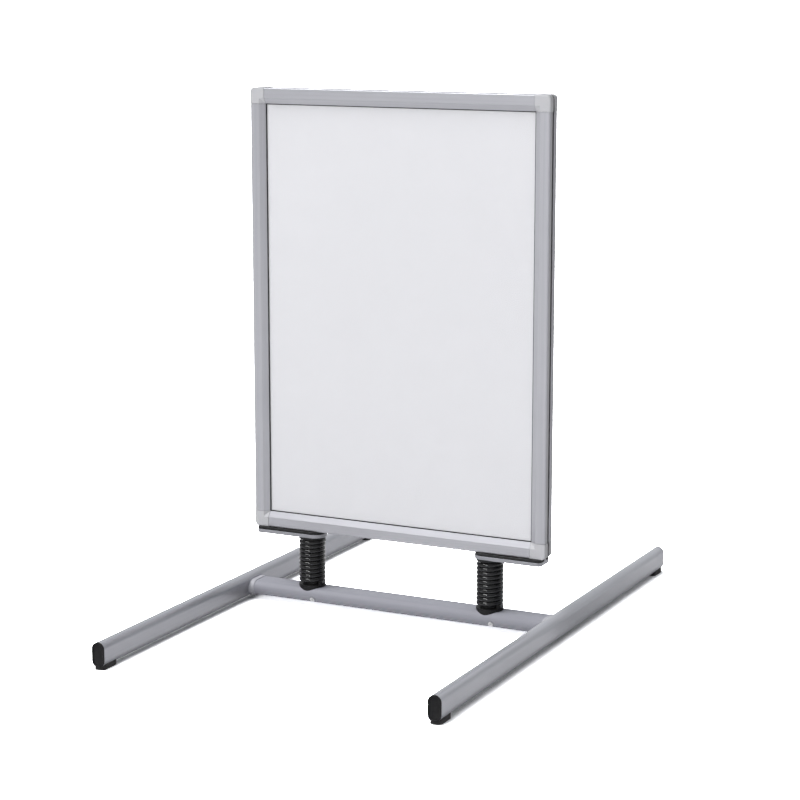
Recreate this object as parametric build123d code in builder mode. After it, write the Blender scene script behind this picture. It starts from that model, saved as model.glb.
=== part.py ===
from build123d import *

import math
import os

# All sizes are in millimetres. X runs across the sign, Y from front to rear, Z up.
# The origin is on the ground, under the middle of the base.

# Poster and the rails around it
poster_width = 594.0
poster_height = 841.0
poster_overlap = 9.0
poster_thickness = 0.3
cover_sheet_thickness = 0.8
backing_thickness = 1.8
backing_margin = 2.0
rail_width = 31.0
rail_flat = 20.0
rail_wall = 1.4
rail_edge_radius = 3.0
lip_thickness = 1.7
base_wall = 1.4
base_reach = 38.0
base_web_distance = 5.8
frame_depth = 14.0
channel_width = 8.0
seal_thickness = 0.5
seal_reveal = 2.0
seal_cover = 3.0

# Snap hinge along the outer edge of each rail
bead_radius = 1.4
hinge_play = 0.08
hook_wall = 1.12
neck_thickness = 1.2
hook_start_angle = 118.0
hook_end_angle = 332.0

# Corner covers
corner_proud = 0.5
corner_radius = 9.0
corner_post_radius = 3.0
corner_post_inset = 12.0
cut_margin = 1.0

# Snap springs inside the rails
leaf_thickness = 0.6
leaf_length = 34.0
leaf_spacing = 300.0
leaf_side_gap = 1.0
leaf_free_edge_gap = 2.0

# Ground frame
foot_length = 1120.0
foot_width = 26.0
foot_height = 48.0
foot_spacing = 686.0
tube_wall = 1.8
ground_gap = 5.0
bar_width = 60.0
bar_height = 30.0
bar_axis_height = 26.0
collar_length = 12.0
collar_proud = 1.0
end_cap_rim = 3.0
end_cap_plug = 18.0
end_cap_recess = 1.2
end_cap_border = 3.0
pad_length = 46.0
pad_width = 22.0
pad_rise = 6.0
pad_setback = 3.0
pad_end_radius = 7.0
pad_stud_radius = 3.5
pad_stud_length = 8.0

# Springs and their fittings
spring_spacing = 394.0
wire_diameter = 8.0
coil_diameter = 54.0
coil_pitch = 8.65
coil_turns = 10
lower_flange = 5.0
upper_flange = 4.4
plug_length = 24.0
plug_chamfer = 3.0
plug_clearance = 0.4
stop_thickness = 4.0
stop_height = 6.0
stem_diameter = 36.0
stem_groove_depth = 3.5
stem_groove_height = 10.0
stem_groove_drop = 3.3
retainer_offset = 15.0
retainer_angle = 23.0
retainer_shank_radius = 3.0
retainer_shank_length = 18.0
retainer_head_radius = 5.0
retainer_head_height = 2.2
hex_key_size = 4.0
hex_key_depth = 1.6

# Brackets under the poster frames
bracket_thickness = 7.0
bracket_width = 50.0
bracket_end_radius = 9.0
bracket_overhang = 4.0
bracket_end_inset = 6.0
blade_length = 105.0
blade_height = 90.0
blade_corner_radius = 20.0
gasket_thickness = 4.6
gasket_width = 48.0
spring_bolt_radius = 5.0
spring_bolt_head_radius = 9.0
spring_bolt_length = 24.0

# Bolts through both frames
bolt_radius = 2.5
bolt_head_radius = 4.5
bolt_head_height = 2.8
nut_across_flats = 8.0
nut_height = 4.0
bolt_end_clearance = 48.0
bolt_pitch = 52.0
bolt_rise = 75.0
spacer_size = 14.0

# Clearances
seat_gap = 0.3
hole_clearance = 0.3
rail_end_gap = 0.4

# Sizes that follow from the ones above
sign_width = poster_width + 2 * (rail_width - poster_overlap)
sign_height = poster_height + 2 * (rail_width - poster_overlap)
sign_depth = 2 * frame_depth + channel_width
half_width = sign_width / 2
bar_top = bar_axis_height + bar_height / 2
coil_radius = (coil_diameter - wire_diameter) / 2
spring_bottom = bar_top + lower_flange
spring_top = spring_bottom + coil_turns * coil_pitch + wire_diameter
bracket_bottom = spring_top + upper_flange
bracket_top = bracket_bottom + bracket_thickness
sign_bottom = bracket_top + gasket_thickness + corner_proud
sign_top = sign_bottom + sign_height
sign_middle = (sign_bottom + sign_top) / 2
foot_x = foot_spacing / 2
foot_axis_height = ground_gap + foot_height / 2
bar_half_length = foot_x - foot_width / 2
spring_x = spring_spacing / 2
plug_radius = coil_diameter / 2 - wire_diameter - plug_clearance
pad_centres = [end * (foot_length / 2 - pad_setback - pad_length / 2) for end in (-1, 1)]

# Depths inside one frame, measured from its face
plate_front = frame_depth - base_wall
backing_front = plate_front - backing_thickness
poster_front = backing_front - poster_thickness
sheet_front = poster_front - cover_sheet_thickness
seal_front = sheet_front - seal_thickness
lip_back = seal_front - seat_gap
bevel_drop = lip_back - lip_thickness
bevel_inner_start = rail_flat - rail_wall / 3
hook_radius = bead_radius + hinge_play + hook_wall
pivot_depth = frame_depth - hook_radius
backing_inset = rail_width - poster_overlap - backing_margin
rib_outer = backing_inset - seat_gap - base_wall
cavity_middle = (base_web_distance + base_wall + rib_outer) / 2


def save(builder, label):
    builder.part.label = label
    export_step(builder.part, os.path.join("parts", label + ".step"))


# Each frame has a face in Y and a direction from its face into its depth
frames = {
    "front": (-sign_depth / 2, Vector(0, 1, 0)),
    "rear": (sign_depth / 2, Vector(0, -1, 0)),
}

# Each side has the middle of its outer edge, its inward direction and its length
sides = {
    "top": (Vector(0, 0, sign_top), Vector(0, 0, -1), sign_width),
    "bottom": (Vector(0, 0, sign_bottom), Vector(0, 0, 1), sign_width),
    "left": (Vector(-half_width, 0, sign_middle), Vector(1, 0, 0), sign_height),
    "right": (Vector(half_width, 0, sign_middle), Vector(-1, 0, 0), sign_height),
}

corners = {
    "top_left": (Vector(-half_width, 0, sign_top), Vector(1, 0, 0), Vector(0, 0, -1)),
    "top_right": (Vector(half_width, 0, sign_top), Vector(-1, 0, 0), Vector(0, 0, -1)),
    "bottom_left": (Vector(-half_width, 0, sign_bottom), Vector(1, 0, 0), Vector(0, 0, 1)),
    "bottom_right": (Vector(half_width, 0, sign_bottom), Vector(-1, 0, 0), Vector(0, 0, 1)),
}

# Where bolts pass through both frames, as (x, z)
bracket_bolts = [
    (side * x, z)
    for side in (-1, 1)
    for x, z in (
        (half_width - bolt_end_clearance, sign_bottom + cavity_middle),
        (half_width - bolt_end_clearance - bolt_pitch, sign_bottom + cavity_middle),
        (half_width - cavity_middle, sign_bottom + bolt_rise),
    )
]
spacer_bolts = [
    (side * x, z)
    for side in (-1, 1)
    for x, z in (
        (half_width - bolt_end_clearance, sign_top - cavity_middle),
        (half_width - cavity_middle, sign_middle),
    )
]


def section_plane(frame, side):
    """Local x runs inward from the outer edge and local y into the depth."""
    face_y, depth = frames[frame]
    middle, inward, _ = sides[side]
    return Plane(origin=middle + Vector(0, face_y, 0), x_dir=inward, z_dir=inward.cross(depth))


def on_hinge(radius, angle):
    turn = math.radians(angle)
    return (hook_radius + radius * math.cos(turn), pivot_depth + radius * math.sin(turn))


def snap_rail(frame, side):
    """The visible rail: a thin section with a hook that wraps round the hinge bead."""
    length = sides[side][2] - 2 * rail_width - 2 * rail_end_gap
    pivot = (hook_radius, pivot_depth)
    bore = bead_radius + hinge_play
    round_centre = (rail_edge_radius, rail_edge_radius)
    wall_angle = 180 + math.degrees(math.acos((hook_radius - rail_wall) / hook_radius))
    with BuildPart() as rail:
        with BuildSketch(section_plane(frame, side)):
            with BuildLine():
                CenterArc(pivot, bore, hook_start_angle, hook_end_angle - hook_start_angle)
                Line(on_hinge(bore, hook_end_angle), on_hinge(hook_radius, hook_end_angle))
                CenterArc(pivot, hook_radius, wall_angle, hook_end_angle - wall_angle)
                Line(on_hinge(hook_radius, wall_angle), (rail_wall, rail_edge_radius))
                CenterArc(round_centre, rail_edge_radius - rail_wall, 180, 90)
                Polyline(
                    (rail_edge_radius, rail_wall),
                    (bevel_inner_start, rail_wall),
                    (rail_width, lip_back),
                    (rail_width, bevel_drop),
                    (rail_flat, 0),
                    (rail_edge_radius, 0),
                )
                CenterArc(round_centre, rail_edge_radius, 180, 90)
                Line((0, rail_edge_radius), (0, pivot_depth))
                CenterArc(pivot, hook_radius, hook_start_angle, 180 - hook_start_angle)
                Line(on_hinge(hook_radius, hook_start_angle), on_hinge(bore, hook_start_angle))
            make_face()
        extrude(amount=length / 2, both=True)
    return rail


def base_profile(frame, side, bolts):
    """The fixed profile behind a rail, mitred at both ends, with the hinge bead on its neck."""
    face_y, depth = frames[frame]
    middle, inward, length = sides[side]
    along = inward.cross(depth)
    web_inner = base_web_distance + base_wall
    neck_half = neck_thickness / 2
    neck_start = hook_radius + math.sqrt(bead_radius**2 - neck_half**2)
    neck_angle = math.degrees(math.asin(neck_half / bead_radius))
    with BuildPart() as profile:
        with BuildSketch(section_plane(frame, side)):
            with BuildLine():
                CenterArc((hook_radius, pivot_depth), bead_radius, neck_angle, 360 - 2 * neck_angle)
                Polyline(
                    (neck_start, pivot_depth - neck_half),
                    (web_inner, pivot_depth - neck_half),
                    (web_inner, plate_front),
                    (rib_outer, plate_front),
                    (rib_outer, sheet_front),
                    (rib_outer + base_wall, sheet_front),
                    (rib_outer + base_wall, plate_front),
                    (base_reach, plate_front),
                    (base_reach, frame_depth),
                    (base_web_distance, frame_depth),
                    (base_web_distance, pivot_depth + neck_half),
                    (neck_start, pivot_depth + neck_half),
                )
            make_face()
        extrude(amount=length / 2, both=True)
        face_middle = middle + Vector(0, face_y, 0)
        mask_plane = Plane(origin=face_middle, x_dir=along, z_dir=along.cross(inward))
        with BuildSketch(mask_plane):
            with BuildLine():
                Polyline(
                    (-length / 2 + corner_radius, 0),
                    (length / 2 - corner_radius, 0),
                    (length / 2 - corner_radius / 2, corner_radius / 2),
                    (length / 2 - base_reach, base_reach),
                    (-length / 2 + base_reach, base_reach),
                    (-length / 2 + corner_radius / 2, corner_radius / 2),
                    close=True,
                )
            make_face()
        extrude(amount=frame_depth, dir=depth, mode=Mode.INTERSECT)
        with BuildSketch(Plane.XZ.offset(-face_y)):
            with Locations(*bolts):
                Circle(bolt_radius + hole_clearance)
        extrude(amount=frame_depth, dir=depth, mode=Mode.SUBTRACT)
    return profile


def corner_cover(frame, corner):
    """A moulded cover over one corner: two rail shapes meet on the mitre, hollow behind."""
    face_y, depth = frames[frame]
    point, across, upright = corners[corner]
    start = point + Vector(0, face_y, 0)
    outer_reach = rail_width + corner_proud
    inner_edge = rail_wall - corner_proud
    cavity_reach = rail_width - inner_edge + cut_margin
    cavity_back = frame_depth + cut_margin
    cavity_inner = rail_width + cut_margin
    with BuildPart() as cover:
        for inward, run in ((across, upright), (upright, across)):
            origin = start - run * corner_proud
            with BuildSketch(Plane(origin=origin, x_dir=inward, z_dir=inward.cross(depth))):
                with BuildLine():
                    Polyline(
                        (-corner_proud, frame_depth),
                        (-corner_proud, -corner_proud),
                        (rail_flat, -corner_proud),
                        (rail_width, bevel_drop - corner_proud),
                        (rail_width, frame_depth),
                        close=True,
                    )
                make_face()
            extrude(amount=outer_reach, dir=run)
        outer_corner = start - (across + upright) * corner_proud
        upright_edges = cover.edges().filter_by(Axis.Y)
        fillet(upright_edges.sort_by_distance(outer_corner)[0], corner_radius)
        rim = cover.faces().sort_by_distance(outer_corner + (across + upright) * rail_flat / 2)[0]
        rim_edges = [
            edge
            for edge in rim.edges()
            if min(
                abs((edge.center() - outer_corner).dot(across)),
                abs((edge.center() - outer_corner).dot(upright)),
            )
            < corner_radius / 2
            and (edge.center() - start).dot(across) < rail_width - corner_proud
            and (edge.center() - start).dot(upright) < rail_width - corner_proud
        ]
        fillet(rim_edges, rail_edge_radius - corner_proud)
        with BuildPart(mode=Mode.PRIVATE) as cavity:
            for inward, run in ((across, upright), (upright, across)):
                origin = start + run * inner_edge
                with BuildSketch(Plane(origin=origin, x_dir=inward, z_dir=inward.cross(depth))):
                    with BuildLine():
                        Polyline(
                            (inner_edge, cavity_back),
                            (inner_edge, inner_edge),
                            (bevel_inner_start, inner_edge),
                            (rail_width, lip_back - corner_proud),
                            (cavity_inner, lip_back - corner_proud),
                            (cavity_inner, cavity_back),
                            close=True,
                        )
                    make_face()
                extrude(amount=cavity_reach, dir=run)
            inner_corner = start + (across + upright) * inner_edge
            fillet(
                cavity.edges().filter_by(Axis.Y).sort_by_distance(inner_corner)[0],
                corner_radius - rail_wall,
            )
        add(cavity.part, mode=Mode.SUBTRACT)
        post_plane = Plane(origin=start + (across + upright) * corner_post_inset, z_dir=depth)
        with BuildSketch(post_plane.offset(inner_edge)):
            Circle(corner_post_radius)
        extrude(amount=plate_front - inner_edge)
    return cover


def face_plane(frame):
    """The plane of a frame's face, centred on it, that looks into its depth."""
    face_y, depth = frames[frame]
    return Plane(origin=(0, face_y, sign_middle), x_dir=(1, 0, 0), z_dir=depth)


def flat_sheet(frame, width, height, front, thickness):
    """A rectangular sheet in the middle of a frame, from one depth to the next."""
    with BuildPart() as sheet:
        with BuildSketch(face_plane(frame).offset(front)):
            Rectangle(width, height)
        extrude(amount=thickness)
    return sheet


def leaf_springs(frame):
    """Bent spring strips, two inside each rail, that stand on the base profile."""
    foot_depth = plate_front - leaf_thickness / 2
    with BuildPart() as leaves:
        for side in sides:
            plane = section_plane(frame, side)
            for offset in (-leaf_spacing / 2, leaf_spacing / 2):
                with BuildSketch(plane.offset(offset)):
                    with BuildLine() as bend:
                        Polyline(
                            (rib_outer - leaf_side_gap, foot_depth),
                            (base_web_distance + base_wall + leaf_side_gap, foot_depth),
                            (base_web_distance + base_wall + leaf_side_gap, pivot_depth / 2),
                            (cavity_middle, rail_wall + leaf_thickness),
                            (rib_outer - leaf_free_edge_gap, pivot_depth / 2),
                        )
                    trace(bend.line, leaf_thickness)
                extrude(amount=leaf_length / 2, both=True)
    return leaves


def seal_ring(frame):
    """A thin black strip round the picture, under the lips of the rails."""
    inner_width = sign_width - 2 * rail_width - 2 * seal_reveal
    inner_height = sign_height - 2 * rail_width - 2 * seal_reveal
    strip = seal_cover + seal_reveal
    with BuildPart() as ring:
        with BuildSketch(face_plane(frame).offset(seal_front)):
            Rectangle(inner_width + 2 * strip, inner_height + 2 * strip)
            Rectangle(inner_width, inner_height, mode=Mode.SUBTRACT)
        extrude(amount=seal_thickness)
    return ring


def bolts_of(side):
    """The bolts that pass through the profile on one side of a frame."""
    middle, inward, _ = sides[side]
    found = []
    for x, z in bracket_bolts + spacer_bolts:
        inset = (Vector(x, 0, z) - middle).dot(inward)
        if abs(inset - cavity_middle) < bolt_radius:
            found.append((x, z))
    return found


def foot_tube(x):
    """An upright flat-oval tube along the ground, open at both ends."""
    with BuildPart() as foot:
        with BuildSketch(Plane.XZ.offset(-foot_length / 2 + end_cap_rim)):
            with Locations((x, foot_axis_height)):
                SlotOverall(foot_height, foot_width, rotation=90)
                SlotOverall(
                    foot_height - 2 * tube_wall,
                    foot_width - 2 * tube_wall,
                    rotation=90,
                    mode=Mode.SUBTRACT,
                )
        extrude(amount=foot_length - 2 * end_cap_rim)
        with BuildSketch(Plane.XY):
            with Locations(*[(x, y) for y in pad_centres]):
                Circle(pad_stud_radius + hole_clearance)
        extrude(amount=foot_axis_height, mode=Mode.SUBTRACT)
    return foot


def foot_cap(x, end):
    """A plug for the open end of a foot: a rim flush with the tube round a recessed oval."""
    centre = (x, end * foot_length / 2, foot_axis_height)
    outer = Plane(origin=centre, x_dir=(0, 0, 1), z_dir=(0, -end, 0))
    plug_width = foot_width - 2 * tube_wall - 2 * seat_gap
    plug_height = foot_height - 2 * tube_wall - 2 * seat_gap
    with BuildPart() as cap:
        with BuildSketch(outer):
            SlotOverall(foot_height, foot_width)
        extrude(amount=end_cap_rim)
        with BuildSketch(outer):
            SlotOverall(foot_height - 2 * end_cap_border, foot_width - 2 * end_cap_border)
        extrude(amount=end_cap_recess, mode=Mode.SUBTRACT)
        with BuildSketch(outer.offset(end_cap_rim)):
            SlotOverall(plug_height, plug_width)
            SlotOverall(
                plug_height - 2 * tube_wall,
                plug_width - 2 * tube_wall,
                mode=Mode.SUBTRACT,
            )
        extrude(amount=end_cap_plug)
    return cap


def foot_pad(x, y):
    """A rubber pad with a saddle for the round underside of a foot and a stud into it."""
    with BuildPart() as pad:
        with BuildSketch(Plane.XY):
            with Locations((x, y)):
                RectangleRounded(pad_width, pad_length, pad_end_radius)
        extrude(amount=ground_gap + pad_rise)
        with BuildSketch(Plane.XZ.offset(-y)):
            with Locations((x, foot_axis_height)):
                SlotOverall(foot_height, foot_width, rotation=90)
        extrude(amount=pad_length, both=True, mode=Mode.SUBTRACT)
        with BuildSketch(Plane.XY):
            with Locations((x, y)):
                Circle(pad_stud_radius)
        extrude(amount=ground_gap + pad_stud_length)
    return pad


def spring_coil(x):
    """One spring: half turns that each rise half a pitch, with short straight ends."""
    start_z = spring_bottom + wire_diameter / 2
    bulge = math.hypot(coil_radius, coil_pitch / 4)
    end_z = start_z + coil_turns * coil_pitch
    with BuildPart() as coil:
        with BuildLine() as path:
            Line((x + coil_radius, -wire_diameter, start_z), (x + coil_radius, 0, start_z))
            for half_turn in range(2 * coil_turns):
                side = 1 if half_turn % 2 == 0 else -1
                z = start_z + half_turn * coil_pitch / 2
                ThreePointArc(
                    (x + side * coil_radius, 0, z),
                    (x, side * bulge, z + coil_pitch / 4),
                    (x - side * coil_radius, 0, z + coil_pitch / 2),
                )
            Line((x + coil_radius, 0, end_z), (x + coil_radius, wire_diameter, end_z))
        with BuildSketch(Plane(origin=(x + coil_radius, -wire_diameter, start_z), z_dir=(0, 1, 0))):
            Circle(wire_diameter / 2)
        sweep(path=path.line)
    return coil


def coil_gap():
    """The least clear gap between neighbouring turns, measured on points of the centre line."""
    steps = 90
    half_turns = 6
    bulge = math.hypot(coil_radius, coil_pitch / 4)
    points = []
    for half_turn in range(half_turns):
        side = 1 if half_turn % 2 == 0 else -1
        for step in range(steps):
            turn = math.pi * step / steps
            along = math.cos(turn)
            z = half_turn * coil_pitch / 2 + coil_pitch / 4 * (1 - along)
            points.append((side * coil_radius * along, side * bulge * math.sin(turn), z))
    nearest = min(
        math.dist(points[i], points[j])
        for i in range(steps, 2 * steps)
        for j in range(i + steps, len(points))
    )
    return nearest - wire_diameter


def wire_stop(x, end, z):
    """The outline of a lug on a flange that the straight end of the wire butts against."""
    stop_y = end * (wire_diameter + seat_gap + stop_thickness / 2)
    with BuildSketch(Plane.XY.offset(z)) as stop:
        with Locations((x, 0)):
            Circle(coil_diameter / 2)
        with Locations((x + coil_radius, stop_y)):
            Rectangle(wire_diameter, stop_thickness, mode=Mode.INTERSECT)
    return stop.sketch


def lower_fitting(x):
    """Turned plug: a core inside the coil, a saddle flange on the bar and a grooved stem in it."""
    stem_bottom = bar_axis_height - bar_height / 2 + tube_wall + 2 * seat_gap
    groove_bottom = bar_axis_height - stem_groove_drop
    with BuildPart() as fitting:
        with BuildSketch(Plane.XY.offset(bar_axis_height)):
            with Locations((x, 0)):
                Circle(coil_diameter / 2)
        extrude(amount=spring_bottom - bar_axis_height)
        with BuildSketch(Plane.YZ.offset(x)):
            with Locations((0, bar_axis_height)):
                SlotOverall(bar_width + 2 * seat_gap, bar_height + 2 * seat_gap)
        extrude(amount=coil_diameter, both=True, mode=Mode.SUBTRACT)
        with BuildSketch(Plane.XY.offset(stem_bottom)):
            with Locations((x, 0)):
                Circle(stem_diameter / 2)
        extrude(amount=spring_bottom - stem_bottom)
        with BuildSketch(Plane.XY.offset(groove_bottom)):
            with Locations((x, 0)):
                Circle(stem_diameter / 2)
                Circle(stem_diameter / 2 - stem_groove_depth, mode=Mode.SUBTRACT)
        extrude(amount=stem_groove_height, mode=Mode.SUBTRACT)
        with BuildSketch(Plane.XY.offset(spring_bottom)):
            with Locations((x, 0)):
                Circle(plug_radius)
        extrude(amount=plug_length)
        chamfer(fitting.faces().sort_by(Axis.Z)[-1].edges(), plug_chamfer)
        extrude(wire_stop(x, -1, spring_bottom), amount=stop_height)
    return fitting


def upper_fitting(x):
    """Turned plug under a bracket: a flange on the coil and a threaded core inside it."""
    with BuildPart() as fitting:
        with BuildSketch(Plane.XY.offset(spring_top)):
            with Locations((x, 0)):
                Circle(coil_diameter / 2)
        extrude(amount=upper_flange)
        with BuildSketch(Plane.XY.offset(spring_top)):
            with Locations((x, 0)):
                Circle(plug_radius)
        extrude(amount=-plug_length)
        chamfer(fitting.faces().sort_by(Axis.Z)[0].edges(), plug_chamfer)
        extrude(wire_stop(x, 1, spring_top), amount=-stop_height)
        with BuildSketch(Plane.XY.offset(bracket_bottom)):
            with Locations((x, 0)):
                Circle(spring_bolt_radius)
        extrude(amount=-spring_bolt_length, mode=Mode.SUBTRACT)
    return fitting


def plate_outline(side, width, inset, height):
    """A strip under the frames, half round at the spring and nearly square at the outer corner."""
    outer = half_width - bracket_end_inset - inset
    round_centre = spring_x - coil_diameter / 2 - bracket_overhang + bracket_width / 2
    with BuildSketch(Plane.XY.offset(height)) as outline:
        with Locations((side * (outer + round_centre) / 2, 0)):
            Rectangle(outer - round_centre, width)
        fillet(outline.vertices().group_by(Axis.X)[0 if side < 0 else -1], bracket_end_radius - inset)
        with Locations((side * round_centre, 0)):
            Circle(width / 2)
    return outline.sketch


def bracket(side):
    """A plate under both frames with a blade that stands in the channel between them."""
    blade_centre_x = side * (half_width - bracket_end_inset - blade_length / 2)
    blade_top = sign_bottom + blade_height
    with BuildPart() as plate:
        extrude(plate_outline(side, bracket_width, 0, bracket_bottom), amount=bracket_thickness)
        with BuildSketch(Plane.XZ):
            with Locations((blade_centre_x, (bracket_top + blade_top) / 2)):
                Rectangle(blade_length, blade_top - bracket_top)
        extrude(amount=channel_width / 2 - seat_gap, both=True)
        inner_edges = plate.edges().filter_by(Axis.Y).group_by(Axis.Z)[-1]
        fillet(inner_edges.sort_by(Axis.X)[-1 if side < 0 else 0], blade_corner_radius)
        with BuildSketch(Plane.XZ):
            with Locations(*[spot for spot in bracket_bolts if spot[0] * side > 0]):
                Circle(bolt_radius + hole_clearance)
        extrude(amount=channel_width, both=True, mode=Mode.SUBTRACT)
        with Locations((side * spring_x, 0, bracket_top)):
            CounterSinkHole(
                spring_bolt_radius + hole_clearance,
                spring_bolt_head_radius + hole_clearance,
                depth=bracket_thickness,
            )
    return plate


def gasket(side):
    """A rubber strip between a bracket plate and the undersides of the frames."""
    inset = (bracket_width - gasket_width) / 2
    blade_centre_x = side * (half_width - bracket_end_inset - blade_length / 2)
    with BuildPart() as strip:
        extrude(plate_outline(side, gasket_width, inset, bracket_top), amount=gasket_thickness)
        with BuildSketch(Plane.XY.offset(bracket_top)):
            with Locations((blade_centre_x, 0)):
                Rectangle(blade_length + 2 * seat_gap, channel_width)
        extrude(amount=gasket_thickness, mode=Mode.SUBTRACT)
    return strip


os.makedirs("parts", exist_ok=True)

# Ground frame
for side_name, x in (("left", -foot_x), ("right", foot_x)):
    save(foot_tube(x), side_name + "_foot")
    for end_name, end, pad_y in (("front", -1, pad_centres[0]), ("rear", 1, pad_centres[1])):
        save(foot_cap(x, end), side_name + "_foot_" + end_name + "_cap")
        save(foot_pad(x, pad_y), side_name + "_foot_" + end_name + "_pad")

with BuildPart() as crossbar:
    with BuildSketch(Plane.YZ.offset(-bar_half_length)):
        with Locations((0, bar_axis_height)):
            SlotOverall(bar_width, bar_height)
            SlotOverall(bar_width - 2 * tube_wall, bar_height - 2 * tube_wall, mode=Mode.SUBTRACT)
    extrude(amount=2 * bar_half_length)
    with BuildSketch(Plane.XY.offset(bar_axis_height)):
        with Locations((-spring_x, 0), (spring_x, 0)):
            Circle(stem_diameter / 2 + hole_clearance)
    extrude(amount=bar_height, mode=Mode.SUBTRACT)
    for x in (-spring_x, spring_x):
        tilt = math.radians(retainer_angle)
        into = Vector(0, math.cos(tilt), math.sin(tilt))
        centre = Vector(x + retainer_offset, -(bar_width - bar_height) / 2, bar_axis_height)
        with BuildSketch(Plane(origin=centre - into * bar_height, x_dir=(1, 0, 0), z_dir=into)):
            Circle(retainer_shank_radius + hole_clearance)
        extrude(amount=bar_height, mode=Mode.SUBTRACT)
save(crossbar, "crossbar")

with BuildPart() as collars:
    for side in (-1, 1):
        outer_x = side * bar_half_length
        inner_x = side * (bar_half_length - collar_length)
        with BuildSketch(Plane.YZ.offset(min(outer_x, inner_x))):
            with Locations((0, bar_axis_height)):
                SlotOverall(bar_width + 2 * collar_proud, bar_height + 2 * collar_proud)
                SlotOverall(bar_width, bar_height, mode=Mode.SUBTRACT)
        extrude(amount=collar_length)
save(collars, "crossbar_collars")

with BuildPart() as retaining_screws:
    for x in (-spring_x, spring_x):
        tilt = math.radians(retainer_angle)
        into = Vector(0, math.cos(tilt), math.sin(tilt))
        centre = Vector(x + retainer_offset, -(bar_width - bar_height) / 2, bar_axis_height)
        surface = Plane(origin=centre - into * (bar_height / 2), x_dir=(1, 0, 0), z_dir=into)
        with BuildSketch(surface.offset(-retainer_head_height)):
            Circle(retainer_head_radius)
        extrude(amount=retainer_head_height)
        with BuildSketch(surface):
            Circle(retainer_shank_radius)
        extrude(amount=retainer_shank_length)
        with BuildSketch(surface.offset(-retainer_head_height)):
            RegularPolygon(hex_key_size / 2, 6, major_radius=False)
        extrude(amount=hex_key_depth, mode=Mode.SUBTRACT)
save(retaining_screws, "retaining_screws")

# Springs, plugs and brackets
for side_name, side in (("left", -1), ("right", 1)):
    save(lower_fitting(side * spring_x), side_name + "_lower_plug")
    save(upper_fitting(side * spring_x), side_name + "_upper_plug")
    save(spring_coil(side * spring_x), side_name + "_spring")
    save(bracket(side), side_name + "_bracket")
    save(gasket(side), side_name + "_gasket")

with BuildPart() as spring_bolts:
    for x in (-spring_x, spring_x):
        with BuildSketch(Plane.XY.offset(bracket_bottom - spring_bolt_length + seat_gap)):
            with Locations((x, 0)):
                Circle(spring_bolt_radius)
        extrude(amount=spring_bolt_length + bracket_thickness - seat_gap)
        with Locations((x, 0, bracket_top - (spring_bolt_head_radius - spring_bolt_radius) / 2)):
            Cone(
                spring_bolt_radius,
                spring_bolt_head_radius,
                spring_bolt_head_radius - spring_bolt_radius,
            )
save(spring_bolts, "spring_bolts")

with BuildPart() as frame_bolts:
    for x, z in bracket_bolts + spacer_bolts:
        shaft_end = channel_width / 2 + base_wall
        with BuildSketch(Plane.XZ.offset(-shaft_end)):
            with Locations((x, z)):
                Circle(bolt_radius)
        extrude(amount=2 * shaft_end)
        with BuildSketch(Plane.XZ.offset(shaft_end)):
            with Locations((x, z)):
                Circle(bolt_head_radius)
        extrude(amount=bolt_head_height)
        with BuildSketch(Plane.XZ.offset(-shaft_end - nut_height)):
            with Locations((x, z)):
                RegularPolygon(nut_across_flats / 2, 6, major_radius=False)
        extrude(amount=nut_height)
save(frame_bolts, "frame_bolts")

with BuildPart() as spacers:
    with BuildSketch(Plane.XZ):
        with Locations(*spacer_bolts):
            Rectangle(spacer_size, spacer_size)
            Circle(bolt_radius + hole_clearance, mode=Mode.SUBTRACT)
    extrude(amount=channel_width / 2, both=True)
save(spacers, "frame_spacers")

# The two poster frames
for frame in frames:
    for side in sides:
        save(snap_rail(frame, side), frame + "_" + side + "_rail")
        save(base_profile(frame, side, bolts_of(side)), frame + "_" + side + "_base")
    for corner in corners:
        save(corner_cover(frame, corner), frame + "_" + corner + "_corner")
    backing_width = poster_width + 2 * backing_margin
    backing_height = poster_height + 2 * backing_margin
    backing = flat_sheet(frame, backing_width, backing_height, backing_front, backing_thickness)
    save(backing, frame + "_backing")
    poster = flat_sheet(frame, poster_width, poster_height, poster_front, poster_thickness)
    save(poster, frame + "_poster")
    cover_sheet = flat_sheet(frame, poster_width, poster_height, sheet_front, cover_sheet_thickness)
    save(cover_sheet, frame + "_cover_sheet")
    save(seal_ring(frame), frame + "_seal")
    save(leaf_springs(frame), frame + "_snap_springs")

print("sign", sign_width, sign_height, "bottom", sign_bottom, "top", sign_top)
print("least gap between turns of a spring", round(coil_gap(), 3))
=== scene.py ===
import math

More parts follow.
